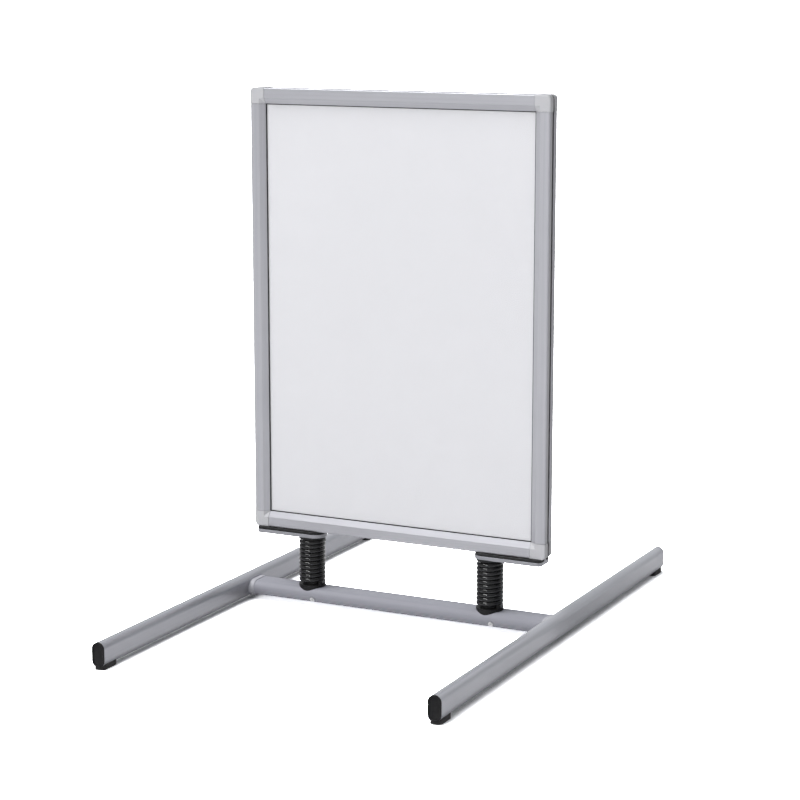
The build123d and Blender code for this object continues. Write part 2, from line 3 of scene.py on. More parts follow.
import bmesh
import bpy
from bpy.props import FloatProperty, FloatVectorProperty, IntProperty, PointerProperty
from bpy.types import NodeSocket, Operator, Panel, PropertyGroup
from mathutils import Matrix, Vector


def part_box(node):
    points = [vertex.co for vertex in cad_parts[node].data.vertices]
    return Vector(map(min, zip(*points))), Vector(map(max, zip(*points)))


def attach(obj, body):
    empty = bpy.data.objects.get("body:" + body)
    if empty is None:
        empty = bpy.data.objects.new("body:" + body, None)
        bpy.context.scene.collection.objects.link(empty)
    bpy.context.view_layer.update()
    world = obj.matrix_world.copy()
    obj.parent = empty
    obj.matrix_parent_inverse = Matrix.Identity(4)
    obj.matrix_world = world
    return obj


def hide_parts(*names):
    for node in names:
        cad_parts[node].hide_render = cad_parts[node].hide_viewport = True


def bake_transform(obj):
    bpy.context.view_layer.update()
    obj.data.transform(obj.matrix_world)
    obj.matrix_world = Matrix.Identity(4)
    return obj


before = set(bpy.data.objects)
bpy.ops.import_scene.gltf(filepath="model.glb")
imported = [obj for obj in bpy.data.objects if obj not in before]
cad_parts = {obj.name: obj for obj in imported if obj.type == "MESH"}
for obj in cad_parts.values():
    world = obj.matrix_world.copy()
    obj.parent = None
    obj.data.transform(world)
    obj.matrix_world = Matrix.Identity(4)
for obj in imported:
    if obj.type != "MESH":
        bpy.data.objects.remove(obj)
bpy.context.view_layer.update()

bl_info = {
    "name": "Spring Sidewalk Sign",
    "version": (1, 0, 0),
    "blender": (4, 5, 0),
    "location": "3D View > Sidebar > Sign",
    "description": "Finishes, springs and studio for a double-sided poster sign on two springs",
    "category": "Object",
}

FACES = ("front", "rear")
ENDS = ("front", "rear")
HANDS = ("left", "right")
CORNERS = ("top_left", "top_right", "bottom_left", "bottom_right")

# Frame pieces that share a finish
RAILS_ACROSS = [f"{face}_{side}_rail" for face in FACES for side in ("top", "bottom")]
RAILS_UPRIGHT = [f"{face}_{hand}_rail" for face in FACES for hand in HANDS]
BASES_ACROSS = [f"{face}_{side}_base" for face in FACES for side in ("top", "bottom")]
BASES_UPRIGHT = [f"{face}_{hand}_base" for face in FACES for hand in HANDS]
CORNER_COVERS = [f"{face}_{corner}_corner" for face in FACES for corner in CORNERS]
COVER_SHEETS = [f"{face}_cover_sheet" for face in FACES]
SPRING_PLUGS = [f"{hand}_{level}_plug" for hand in HANDS for level in ("lower", "upper")]
END_CAPS = [f"{hand}_foot_{end}_cap" for hand in HANDS for end in ENDS]
GROUND_PADS = [f"{hand}_foot_{end}_pad" for hand in HANDS for end in ENDS]

# Springs: steps round each turn of the centre line, and steps along its straight ends
COIL_STEPS = 64
STUB_STEPS = 4
WIRE_SIDES = 20

# Weld beads: steps round a bead, its place as a share of its own radius above the collar
# and out from the foot, and its ripples as a share of the radius over a length in metres
WELD_STEPS = 260
WELD_SIDES = 10
WELD_RISE = 0.3
WELD_REACH = 0.2
WELD_RIPPLES = ((0.09, 0.0011), (0.05, 0.0047))

# How far each side of a clear sheet draws back from what it lies against, in metres
AIR_GAP = 0.00004

# Lamps: sizes and places in metres, spreads in degrees
FRONT_BOX_SIZE = (0.6, 0.4)
FRONT_BOX_PLACE = (-0.6, -5.2, 2.3)
FRONT_BOX_TARGET = (0.0, 0.0, 0.6)
KEY_SPREAD = 22.0
KEY_AIM = (0.42, 0.30, -0.86)
TOP_SPREAD = 60.0
TOP_AIM = (0.10, 0.12, -1.0)

# Camera: sensor in millimetres, reach in metres
SENSOR_WIDTH = 36.0
VIEW_REACH = 600.0

# Floor: its half width, how near a piece has to be to shade it, how open it is from full
# shade to none, and how far out the shade fades in beside each foot
FLOOR_REACH = 250.0
CONTACT_REACH = 0.028
CONTACT_OPEN = (0.5, 0.96)
CONTACT_SAMPLES = 8
FOOT_SHADE = (0.335, 0.315)

# Room: how steep a direction is where the low band ends and where the ceiling starts, how
# wide the change is between facing walls, and a one that keeps straight up from dividing by 0
LOW_BAND = (0.02, 0.10)
CEILING_BAND = (0.50, 0.85)
WALL_BLEND = 0.01
NEARLY_ONE = 1.0001
ROOM_TINT = (0.96, 0.98, 1.0)
WHITE = (1.0, 1.0, 1.0)


def low_corner(node):
    """The low corner of a frame piece's box."""
    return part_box(node)[0]


def high_corner(node):
    """The high corner of a frame piece's box."""
    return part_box(node)[1]


# Settings that a user would change


class SIGN_PG_sizes(PropertyGroup):
    """Sizes of the pieces that are drawn here over the frame"""

    wire_diameter: FloatProperty(
        name="Spring wire", description="Diameter of the wire of both springs",
        unit="LENGTH", default=0.0086, min=0.001,
    )
    coil_diameter: FloatProperty(
        name="Spring coil", description="Outside diameter of both springs",
        unit="LENGTH", min=0.01,
        default=high_corner("left_spring")[0] - low_corner("left_spring")[0],
    )
    coil_turns: IntProperty(
        name="Spring turns", description="Whole turns of wire in each spring",
        default=10, min=2, max=12,
    )
    weld_radius: FloatProperty(
        name="Weld bead", description="Radius of the weld bead round each end of the crossbar",
        unit="LENGTH", default=0.0016, min=0.0002,
    )
    edge_round: FloatProperty(
        name="Edge rounding", description="How far the finish rounds off a sharp metal edge",
        unit="LENGTH", default=0.0006, min=0.0,
    )


class SIGN_PG_colours(PropertyGroup):
    """Colours of the finishes"""

    rail: FloatVectorProperty(
        name="Rails", description="Anodised face of the snap rails",
        subtype="COLOR", default=(0.395, 0.395, 0.425), min=0.0, max=1.0,
    )
    corner: FloatVectorProperty(
        name="Corner covers", description="Moulded covers over the corners",
        subtype="COLOR", default=(0.48, 0.48, 0.50), min=0.0, max=1.0,
    )
    channel: FloatVectorProperty(
        name="Base profiles", description="Bare profiles behind the rails",
        subtype="COLOR", default=(0.30, 0.30, 0.31), min=0.0, max=1.0,
    )
    paint: FloatVectorProperty(
        name="Feet and brackets", description="Satin coat on the feet, collars and brackets",
        subtype="COLOR", default=(0.335, 0.335, 0.365), min=0.0, max=1.0,
    )
    crossbar: FloatVectorProperty(
        name="Crossbar", description="Matt coat on the crossbar and its welds",
        subtype="COLOR", default=(0.262, 0.262, 0.300), min=0.0, max=1.0,
    )
    black: FloatVectorProperty(
        name="Black pieces", description="End caps, pads, springs and fittings",
        subtype="COLOR", default=(0.008, 0.008, 0.009), min=0.0, max=1.0,
    )
    poster: FloatVectorProperty(
        name="Poster", description="The blank sheet in each frame",
        subtype="COLOR", default=(0.80, 0.795, 0.82), min=0.0, max=1.0,
    )


class SIGN_PG_studio(PropertyGroup):
    """Camera, lamps and room"""

    camera_place: FloatVectorProperty(
        name="Camera place", description="Where the camera stands",
        subtype="TRANSLATION", unit="LENGTH", default=(1.90305, -3.84602, 1.26339),
    )
    camera_yaw: FloatProperty(
        name="Camera turn", description="Turn of the camera to the left of straight ahead",
        subtype="ANGLE", default=math.radians(26.313),
    )
    camera_pitch: FloatProperty(
        name="Camera tilt", description="How far the camera looks down",
        subtype="ANGLE", default=math.radians(10.857),
    )
    lens: FloatProperty(
        name="Lens", description="Focal length on a 36 mm sensor, in millimetres",
        unit="CAMERA", default=100.28, min=10.0,
    )
    front_box: FloatProperty(
        name="Front softbox", description="Power of the softbox in front of the sign",
        unit="POWER", default=72.0, min=0.0,
    )
    key_strength: FloatProperty(
        name="Key lamp", description="Strength of the soft lamp high on the left",
        default=2.0, min=0.0,
    )
    top_strength: FloatProperty(
        name="Top lamp", description="Strength of the soft lamp overhead",
        default=0.3, min=0.0,
    )
    room_low: FloatProperty(
        name="Low walls", description="Level of the walls near the horizon",
        default=0.12, min=0.0,
    )
    room_front: FloatProperty(
        name="Front wall", description="Level of the wall behind the camera",
        default=0.2, min=0.0,
    )
    room_back: FloatProperty(
        name="Back wall", description="Level of the wall behind the sign",
        default=1.2, min=0.0,
    )
    room_left: FloatProperty(
        name="Left wall", description="Level of the wall on the left",
        default=0.3, min=0.0,
    )
    room_right: FloatProperty(
        name="Right wall", description="Level of the wall on the right",
        default=0.05, min=0.0,
    )
    ceiling: FloatProperty(
        name="Ceiling", description="Level of the ceiling",
        default=0.85, min=0.0,
    )


# Nodes


def feed(tree, value, socket):
    """Links a socket to an input, or sets the input to a plain value."""
    if isinstance(value, NodeSocket):
        tree.links.new(value, socket)
    else:
        socket.default_value = value


def add_math(tree, operation, first, second=0.0, clamp=False):
    """A Math node between two sockets or numbers."""
    node = tree.nodes.new("ShaderNodeMath")
    node.operation = operation
    node.use_clamp = clamp
    feed(tree, first, node.inputs[0])
    feed(tree, second, node.inputs[1])
    return node.outputs[0]


def add_vector_math(tree, operation, first, second):
    """A Vector Math node between two sockets or vectors."""
    node = tree.nodes.new("ShaderNodeVectorMath")
    node.operation = operation
    feed(tree, first, node.inputs[0])
    feed(tree, second, node.inputs[1])
    return node.outputs["Value" if operation == "DOT_PRODUCT" else "Vector"]


def add_split(tree, vector):
    """The X, Y and Z sockets of a vector."""
    node = tree.nodes.new("ShaderNodeSeparateXYZ")
    tree.links.new(vector, node.inputs[0])
    return node.outputs


def add_range(tree, value, low, high, to_low=0.0, to_high=1.0):
    """A clamped Map Range node."""
    node = tree.nodes.new("ShaderNodeMapRange")
    tree.links.new(value, node.inputs["Value"])
    node.inputs["From Min"].default_value = low
    node.inputs["From Max"].default_value = high
    node.inputs["To Min"].default_value = to_low
    node.inputs["To Max"].default_value = to_high
    return node.outputs["Result"]


def add_noise(tree, vector, scale, detail=3.0, roughness=0.5):
    """A noise texture on a vector; scale is a number or a socket."""
    node = tree.nodes.new("ShaderNodeTexNoise")
    tree.links.new(vector, node.inputs["Vector"])
    feed(tree, scale, node.inputs["Scale"])
    node.inputs["Detail"].default_value = detail
    node.inputs["Roughness"].default_value = roughness
    return node.outputs["Fac"]


def add_mix(tree, mask, under, over):
    """A colour mix; under and over are sockets or colours of three numbers."""
    node = tree.nodes.new("ShaderNodeMix")
    node.data_type = "RGBA"
    tree.links.new(mask, node.inputs["Factor"])
    for label, value in (("A", under), ("B", over)):
        socket = next(s for s in node.inputs if s.name == label and s.type == "RGBA")
        feed(tree, value if isinstance(value, NodeSocket) else (*value, 1.0), socket)
    return next(s for s in node.outputs if s.type == "RGBA")


def add_bump(tree, height, strength, distance):
    """A Bump node that turns a height into a normal."""
    node = tree.nodes.new("ShaderNodeBump")
    node.inputs["Strength"].default_value = strength
    node.inputs["Distance"].default_value = distance
    tree.links.new(height, node.inputs["Height"])
    return node


def seen_rays(tree):
    """Masks for the rays that show the backdrop.

    The first also holds for reflections, the second only directly and through glass.
    """
    path = tree.nodes.new("ShaderNodeLightPath").outputs
    direct = add_math(tree, "MAXIMUM", path["Is Camera Ray"], path["Is Transmission Ray"])
    return add_math(tree, "MAXIMUM", direct, path["Is Glossy Ray"]), direct


# Effects that several finishes share, as node groups


def new_group(name, inputs, outputs):
    """An empty shader group; inputs are (name, kind, value) and outputs (name, kind)."""
    group = bpy.data.node_groups.new(name, "ShaderNodeTree")
    for label, kind, value in inputs:
        socket = group.interface.new_socket(label, in_out="INPUT", socket_type=kind)
        socket.default_value = value
    for label, kind in outputs:
        group.interface.new_socket(label, in_out="OUTPUT", socket_type=kind)
    entry = group.nodes.new("NodeGroupInput").outputs
    result = group.nodes.new("NodeGroupOutput").inputs
    return group, entry, result


def grain_group():
    """Fine grain along or across a piece; Stretch is waves a metre each way."""
    group, entry, result = new_group(
        "surface_grain",
        [
            ("Stretch", "NodeSocketVector", even_grain(900.0)),
            ("Cloud Scale", "NodeSocketFloat", 9.0),
        ],
        [
            ("Height", "NodeSocketFloat"),
            ("Tone", "NodeSocketFloat"),
            ("Cloud", "NodeSocketFloat"),
        ],
    )
    middle = (0.35, 0.65)
    coords = group.nodes.new("ShaderNodeTexCoord").outputs["Object"]
    stretched = add_vector_math(group, "MULTIPLY", coords, entry["Stretch"])
    fine = add_noise(group, stretched, 1.0, detail=4.0, roughness=0.6)
    cloud = add_noise(group, coords, entry["Cloud Scale"], detail=1.0)
    group.links.new(fine, result["Height"])
    group.links.new(add_range(group, fine, *middle), result["Tone"])
    group.links.new(add_range(group, cloud, *middle), result["Cloud"])
    return group


def edges_group():
    """Where a finish is thin or rubbed on an edge, and the rounded normal there."""
    group, entry, result = new_group(
        "soft_edges",
        [("Width", "NodeSocketFloat", 0.0006)],
        [("Mask", "NodeSocketFloat"), ("Normal", "NodeSocketVector")],
    )
    flat, turned = 0.995, 0.90
    bevel = group.nodes.new("ShaderNodeBevel")
    bevel.samples = 6
    group.links.new(entry["Width"], bevel.inputs["Radius"])
    plain = group.nodes.new("ShaderNodeNewGeometry").outputs["Normal"]
    facing = add_vector_math(group, "DOT_PRODUCT", bevel.outputs["Normal"], plain)
    group.links.new(add_range(group, facing, flat, turned), result["Mask"])
    group.links.new(bevel.outputs["Normal"], result["Normal"])
    return group


def dust_group():
    """Light dust on what faces up, a little more near the ground."""
    group, entry, result = new_group(
        "settled_dust",
        [("Amount", "NodeSocketFloat", 0.1)],
        [("Mask", "NodeSocketFloat")],
    )
    splash_height, splash_share = 0.06, 0.5
    surface = group.nodes.new("ShaderNodeNewGeometry").outputs
    upward = add_range(group, add_split(group, surface["Normal"])["Z"], 0.2, 1.0)
    height = add_split(group, surface["Position"])["Z"]
    low = add_range(group, height, splash_height, 0.0, 0.0, splash_share)
    patchy = add_noise(group, surface["Position"], 60.0, detail=5.0, roughness=0.65)
    where = add_math(group, "ADD", upward, low)
    spread = add_math(group, "MULTIPLY", where, add_range(group, patchy, 0.3, 0.7))
    mask = add_math(group, "MULTIPLY", spread, entry["Amount"], clamp=True)
    group.links.new(mask, result["Mask"])
    return group


def scuffs_group():
    """Sparse short scuffs, as handling leaves on a finish."""
    group, entry, result = new_group(
        "handling_scuffs",
        [("Scale", "NodeSocketFloat", 40.0), ("Amount", "NodeSocketFloat", 0.2)],
        [("Mask", "NodeSocketFloat")],
    )
    streak = (1.0, 6.0, 9.0)
    coords = group.nodes.new("ShaderNodeTexCoord").outputs["Object"]
    drawn = add_vector_math(group, "MULTIPLY", coords, streak)
    thin = add_range(group, add_noise(group, drawn, entry["Scale"], roughness=0.6), 0.60, 0.68)
    patch = add_range(group, add_noise(group, coords, 14.0, detail=2.0), 0.52, 0.66)
    mask = add_math(group, "MULTIPLY", thin, patch)
    mask = add_math(group, "MULTIPLY", mask, entry["Amount"], clamp=True)
    group.links.new(mask, result["Mask"])
    return group


def shared_group(name):
    """One of the shared effects, made the first time it is asked for."""
    makers = {
        "surface_grain": grain_group,
        "soft_edges": edges_group,
        "settled_dust": dust_group,
        "handling_scuffs": scuffs_group,
    }
    return bpy.data.node_groups.get(name) or makers[name]()


def place_group(tree, name, **values):
    """The outputs of a shared effect in a material, with its own values."""
    node = tree.nodes.new("ShaderNodeGroup")
    node.node_tree = shared_group(name)
    for label, value in values.items():
        node.inputs[label.replace("_", " ")].default_value = value
    return node.outputs


# Finishes


def even_grain(waves):
    """Grain that is the same all ways, in waves a metre."""
    return (waves, waves, waves)


def drawn_grain(axis, along=1.5, across=260.0):
    """Grain drawn out along one axis, in waves a metre."""
    return tuple(along if letter == axis else across for letter in "XYZ")


def grey(level):
    """A neutral colour."""
    return (level, level, level)


def tinted(colour, factor):
    """A colour made darker or lighter by a factor."""
    return tuple(min(1.0, part * factor) for part in colour)


def new_material(name):
    """A material, its node tree and its shader."""
    material = bpy.data.materials.new(name)
    material.use_nodes = True
    tree = material.node_tree
    return material, tree, tree.nodes["Principled BSDF"]


def finish_colour(tree, colour, grain, edges, dusty, scuffed, contrast, edge_tone, painted_side_shade):
    """A colour with grain, clouding, painted shade on the sides, worn edges, scuffs and dust."""
    cloud_tone, scuff_tone, edge_share = 0.6, 1.3, 0.6
    side_start, side_full = 0.35, 0.15
    dust_colour = (0.42, 0.41, 0.39)
    light, dark = tinted(colour, 1 + contrast), tinted(colour, 1 - contrast)
    shade = add_mix(tree, grain["Tone"], dark, light)
    clouds = add_math(tree, "MULTIPLY", grain["Cloud"], contrast)
    shade = add_mix(tree, clouds, shade, tinted(colour, cloud_tone))
    # Painted shade: faces that turn away from the front and back are drawn darker than the faces
    # that look forward.
    if painted_side_shade != 1.0:
        normal = tree.nodes.new("ShaderNodeTexCoord").outputs["Normal"]
        forward = add_math(tree, "ABSOLUTE", add_split(tree, normal)["Y"])
        side_shade_mask = add_range(tree, forward, side_start, side_full)
        shade = add_mix(tree, side_shade_mask, shade, tinted(colour, painted_side_shade))
    rubbed = add_math(tree, "MULTIPLY", edges["Mask"], edge_share)
    shade = add_mix(tree, rubbed, shade, tinted(colour, edge_tone))
    shade = add_mix(tree, scuffed, shade, tinted(colour, scuff_tone))
    return add_mix(tree, dusty, shade, dust_colour)


def make_finish(
    name,
    colour,
    roughness,
    metallic=0.0,
    specular=0.5,
    stretch=even_grain(900.0),
    cloud=9.0,
    contrast=0.05,
    relief=0.1,
    relief_height=0.0001,
    edge_tone=1.15,
    edge_width=0.0006,
    dust=0.08,
    scuffs=0.15,
    # Painted shade: how dark the sides are drawn against the faces, 1.0 for none.
    painted_side_shade=1.0,
):
    """A solid finish: one shader under grain, clouding, worn edges, scuffs and dust."""
    dust_roughness = 0.4
    material, tree, shader = new_material(f"{name}_finish")
    grain = place_group(tree, "surface_grain", Stretch=stretch, Cloud_Scale=cloud)
    edges = place_group(tree, "soft_edges", Width=edge_width)
    dusty = place_group(tree, "settled_dust", Amount=dust)["Mask"]
    scuffed = place_group(tree, "handling_scuffs", Amount=scuffs)["Mask"]
    tones = {"contrast": contrast, "edge_tone": edge_tone, "painted_side_shade": painted_side_shade}
    shade = finish_colour(tree, colour, grain, edges, dusty, scuffed, **tones)
    tree.links.new(shade, shader.inputs["Base Color"])

    clean = add_range(tree, grain["Cloud"], 0.0, 1.0, *roughness)
    matt = add_math(tree, "MULTIPLY", dusty, dust_roughness)
    rough = add_math(tree, "ADD", clean, matt, clamp=True)
    tree.links.new(rough, shader.inputs["Roughness"])

    bump = add_bump(tree, grain["Height"], relief, relief_height)
    tree.links.new(edges["Normal"], bump.inputs["Normal"])
    tree.links.new(bump.outputs["Normal"], shader.inputs["Normal"])
    shader.inputs["Metallic"].default_value = metallic
    shader.inputs["Specular IOR Level"].default_value = specular
    return material


def make_clear_sheet():
    """The clear cover over a poster: nearly unseen face on, brighter at a low angle."""
    glance_index, sheet_index = 1.45, 1.49
    face_on, low_angle = 0.06, 0.55
    tints = ((0.925, 0.93, 0.94), (0.94, 0.945, 0.955))
    roughness = (0.30, 0.32)
    relief, relief_height = 0.02, 0.00005
    material, tree, shader = new_material("clear_sheet_finish")
    grain = place_group(tree, "surface_grain", Stretch=even_grain(1400.0), Cloud_Scale=2.5)
    glance = tree.nodes.new("ShaderNodeFresnel")
    glance.inputs["IOR"].default_value = glance_index
    alpha = add_range(tree, glance.outputs[0], 0.0, 1.0, face_on, low_angle)
    tree.links.new(alpha, shader.inputs["Alpha"])
    tree.links.new(add_mix(tree, grain["Cloud"], *tints), shader.inputs["Base Color"])
    rough = add_range(tree, grain["Cloud"], 0.0, 1.0, *roughness)
    tree.links.new(rough, shader.inputs["Roughness"])
    bump = add_bump(tree, grain["Height"], relief, relief_height)
    tree.links.new(bump.outputs["Normal"], shader.inputs["Normal"])
    shader.inputs["IOR"].default_value = sheet_index
    return material


def dress(names, material):
    """Gives frame pieces a finish in place of their plain one."""
    for name in names:
        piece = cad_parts.get(name)
        if piece is None:
            raise RuntimeError(f"The frame has no piece named {name}")
        piece.data.materials.clear()
        piece.data.materials.append(material)
        for polygon in piece.data.polygons:
            polygon.material_index = 0


# Meshes drawn here


def object_from(name, mesh):
    """An object in the scene from a bmesh, which is freed."""
    data = bpy.data.meshes.new(name)
    mesh.to_mesh(data)
    mesh.free()
    piece = bpy.data.objects.new(name, data)
    bpy.context.scene.collection.objects.link(piece)
    return piece


def add_ring(mesh, centre, normal, side, radius, sides):
    """A ring of points round a centre."""
    ring = []
    for step in range(sides):
        turn = 2 * math.pi * step / sides
        spoke = normal * math.cos(turn) + side * math.sin(turn)
        ring.append(mesh.verts.new(centre + spoke * radius))
    return ring


def sweep_wire(name, centres, radii, sides, closed=False):
    """A round tube along a line of points, with a radius at each point."""
    last = len(centres) - 1
    mesh = bmesh.new()
    rings = []
    normal = None
    for index, centre in enumerate(centres):
        if closed:
            before, after = centres[index - 1], centres[(index + 1) % len(centres)]
        else:
            before, after = centres[max(index - 1, 0)], centres[min(index + 1, last)]
        along = (after - before).normalized()
        if normal is None:
            normal = along.orthogonal().normalized()
        normal = (normal - along * normal.dot(along)).normalized()
        rings.append(add_ring(mesh, centre, normal, along.cross(normal), radii[index], sides))
    pairs = list(zip(rings, rings[1:]))
    if closed:
        pairs.append((rings[-1], rings[0]))
    for first, second in pairs:
        for step in range(sides):
            later = (step + 1) % sides
            face = mesh.faces.new((first[step], first[later], second[later], second[step]))
            face.smooth = True
    if not closed:
        mesh.faces.new(rings[0])
        mesh.faces.new(rings[-1])
    bmesh.ops.recalc_face_normals(mesh, faces=mesh.faces)
    return object_from(name, mesh)


def spring_line(x, bottom, top, sizes):
    """The centre line of a spring: straight at both ends, with a steady climb between."""
    radius = (sizes.coil_diameter - sizes.wire_diameter) / 2
    start = bottom + sizes.wire_diameter / 2
    climb = top - bottom - sizes.wire_diameter
    stub = [sizes.wire_diameter * step / STUB_STEPS for step in range(1, STUB_STEPS + 1)]
    points = [Vector((x + radius, -reach, start)) for reach in reversed(stub)]
    steps = sizes.coil_turns * COIL_STEPS
    for step in range(steps + 1):
        turn = 2 * math.pi * sizes.coil_turns * step / steps
        y, z = radius * math.sin(turn), start + climb * step / steps
        points.append(Vector((x + radius * math.cos(turn), y, z)))
    points += [Vector((x + radius, reach, start + climb)) for reach in stub]
    return points


def make_spring(hand, sizes, material):
    """One coil spring as a round wire, in place of the plain one of the frame."""
    node = f"{hand}_spring"
    low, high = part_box(node)
    x = (low[0] + high[0]) / 2
    line = spring_line(x, low[2], high[2], sizes)
    radii = [sizes.wire_diameter / 2] * len(line)
    piece = sweep_wire(f"{hand}_coil_spring", line, radii, WIRE_SIDES)
    piece.data.materials.append(material)
    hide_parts(node)
    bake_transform(piece)


def foot_half_width(hand, z):
    """Distance from the middle plane of a foot to its side at a height."""
    low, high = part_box(f"{hand}_foot")
    radius = (high[0] - low[0]) / 2
    above = z - (high[2] - radius)
    below = (low[2] + radius) - z
    beyond = max(0.0, above, below)
    return math.sqrt(max(0.0, radius**2 - beyond**2))


def oval_point(run, straight, radius):
    """The point at a length along a flat oval, from the start of its upper side."""
    bend = math.pi * radius
    if run < 2 * straight:
        return run - straight, radius
    run -= 2 * straight
    if run < bend:
        turn = run / radius
        return straight + radius * math.sin(turn), radius * math.cos(turn)
    run -= bend
    if run < 2 * straight:
        return straight - run, -radius
    turn = (run - 2 * straight) / radius
    return -straight - radius * math.sin(turn), -radius * math.cos(turn)


def make_weld(hand, sizes, material):
    """The weld bead round one end of the crossbar, rippled as a weld is."""
    low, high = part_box("crossbar_collars")
    foot_low, foot_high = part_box(f"{hand}_foot")
    foot_middle = (foot_low[0] + foot_high[0]) / 2
    toward = 1 if hand == "left" else -1
    half_height = (high[2] - low[2]) / 2
    straight = (high[1] - low[1]) / 2 - half_height
    middle_z = (high[2] + low[2]) / 2
    bead = sizes.weld_radius
    spread = half_height + bead * WELD_RISE
    outline = 4 * straight + 2 * math.pi * spread
    centres = []
    radii = []
    for step in range(WELD_STEPS):
        run = outline * step / WELD_STEPS
        y, z = oval_point(run, straight, spread)
        reach = foot_half_width(hand, middle_z + z) + bead * WELD_REACH
        centres.append(Vector((foot_middle + toward * reach, y, middle_z + z)))
        ripple = sum(share * math.sin(run / length) for share, length in WELD_RIPPLES)
        radii.append(bead * (1 + ripple))
    piece = sweep_wire(f"{hand}_weld_bead", centres, radii, WELD_SIDES, closed=True)
    piece.data.materials.append(material)
    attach(piece, "base")


# Lamps


def place_lamp(name, lamp, aim):
    """Puts a lamp in the scene, shining along aim."""
    holder = bpy.data.objects.new(name, lamp)
    holder.rotation_euler = Vector(aim).to_track_quat("-Z", "Y").to_euler()
    bpy.context.scene.collection.objects.link(holder)
    return holder


def make_lamp(name, strength, spread, aim):
    """A soft distant lamp that shines along aim."""
    lamp = bpy.data.lights.new(name, "SUN")
    lamp.energy = strength
    lamp.angle = math.radians(spread)
    place_lamp(name, lamp, aim)


def make_softbox(name, power, size, place, target):
    """A rectangular softbox that stands at a place and faces a target."""
    lamp = bpy.data.lights.new(name, "AREA")
    lamp.shape = "RECTANGLE"
    lamp.size, lamp.size_y = size
    lamp.energy = power
    holder = place_lamp(name, lamp, Vector(target) - Vector(place))
    holder.location = place


# Operators


class SIGN_OT_rails(Operator):
    """Finish the snap rails, the profiles behind them and their corner covers"""

    bl_idname = "sidewalk_sign.rails"
    bl_label = "Rails and corners"

    def execute(self, context):
        colours = context.scene.sign_colours
        edge = context.scene.sign_sizes.edge_round
        # The rails and the profiles behind them get painted shade: their outer sides are drawn
        # at half the colour of their faces.
        metal = {
            "roughness": (0.29, 0.34), "metallic": 0.4, "contrast": 0.035, "relief": 0.05,
            "edge_width": edge, "edge_tone": 1.1, "dust": 0.02, "scuffs": 0.02, "painted_side_shade": 0.5,
        }
        bare = {**metal, "roughness": (0.38, 0.55), "metallic": 0.6, "contrast": 0.08}
        for way, axis, rails, bases in (
            ("across", "X", RAILS_ACROSS, BASES_ACROSS),
            ("upright", "Z", RAILS_UPRIGHT, BASES_UPRIGHT),
        ):
            brushed = drawn_grain(axis)
            dress(rails, make_finish(f"rail_{way}", colours.rail, stretch=brushed, **metal))
            drawn = drawn_grain(axis, along=2.0, across=900.0)
            dress(bases, make_finish(f"base_{way}", colours.channel, stretch=drawn, **bare))
        # The corner covers get painted shade: their outer sides are drawn darker than their
        # faces.
        moulded = make_finish(
            "corner_cover", colours.corner, roughness=(0.36, 0.46), stretch=even_grain(1300.0),
            contrast=0.03, relief=0.12, edge_width=edge, edge_tone=1.1, dust=0.05, scuffs=0.12,
            painted_side_shade=0.6,
        )
        dress(CORNER_COVERS, moulded)
        leaves = make_finish(
            "leaf_spring", (0.42, 0.42, 0.43), roughness=(0.29, 0.4), metallic=0.9,
            contrast=0.08,
        )
        dress([f"{face}_snap_springs" for face in FACES], leaves)
        return {"FINISHED"}


class SIGN_OT_pictures(Operator):
    """Finish the blank posters with their backs, clear sheets and black strips"""

    bl_idname = "sidewalk_sign.pictures"
    bl_label = "Pictures"

    def execute(self, context):
        colours = context.scene.sign_colours
        paper = make_finish(
            "blank_poster", colours.poster, roughness=(0.55, 0.65), stretch=even_grain(700.0),
            cloud=3.0, contrast=0.006, relief=0.03, relief_height=0.00006, edge_tone=1.0,
            edge_width=0.0001, dust=0.0, scuffs=0.0,
        )
        dress([f"{face}_poster" for face in FACES], paper)
        board = make_finish(
            "backing_board", (0.72, 0.72, 0.71), roughness=(0.5, 0.6),
            stretch=even_grain(400.0), contrast=0.02, relief=0.08, edge_tone=1.0, dust=0.02,
            scuffs=0.03,
        )
        dress([f"{face}_backing" for face in FACES], board)
        dress(COVER_SHEETS, make_clear_sheet())
        for name in COVER_SHEETS:
            air_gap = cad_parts[name].modifiers.new("air_gap", "DISPLACE")
            air_gap.mid_level = 0.0
            air_gap.strength = -AIR_GAP
        strip = make_finish(
            "black_strip", grey(0.028), roughness=(0.5, 0.7), stretch=even_grain(600.0),
            contrast=0.15, relief=0.2, edge_tone=1.3, dust=0.02, scuffs=0.0,
        )
        dress([f"{face}_seal" for face in FACES], strip)
        return {"FINISHED"}


class SIGN_OT_brackets(Operator):
    """Finish the brackets, gaskets, spacers and bolts between the frames and the springs"""

    bl_idname = "sidewalk_sign.brackets"
    bl_label = "Brackets"

    def execute(self, context):
        colours = context.scene.sign_colours
        edge = context.scene.sign_sizes.edge_round
        painted = make_finish(
            "bracket_paint", tinted(colours.paint, 0.85), roughness=(0.34, 0.42), metallic=0.4,
            stretch=even_grain(700.0), contrast=0.04, relief=0.18, edge_width=edge * 1.5,
            edge_tone=1.25, dust=0.06, scuffs=0.12,
        )
        dress([f"{hand}_bracket" for hand in HANDS], painted)
        soft = make_finish(
            "gasket_rubber", colours.black, roughness=(0.6, 0.8), specular=0.35,
            stretch=even_grain(500.0), contrast=0.2, relief=0.3, edge_width=edge * 1.5,
            edge_tone=1.6, dust=0.08, scuffs=0.05,
        )
        dress([f"{hand}_gasket" for hand in HANDS], soft)
        spacer = make_finish(
            "spacer_aluminium", colours.channel, roughness=(0.4, 0.55), metallic=0.7,
            stretch=drawn_grain("Z", along=3.0, across=900.0), contrast=0.06, edge_width=edge,
            dust=0.03,
        )
        dress(["frame_spacers"], spacer)
        plated = make_finish(
            "plated_screw", (0.66, 0.66, 0.67), roughness=(0.29, 0.36), metallic=0.95,
            contrast=0.06, edge_width=edge * 0.5, dust=0.03, scuffs=0.1,
        )
        dress(["spring_bolts", "frame_bolts", "retaining_screws"], plated)
        return {"FINISHED"}


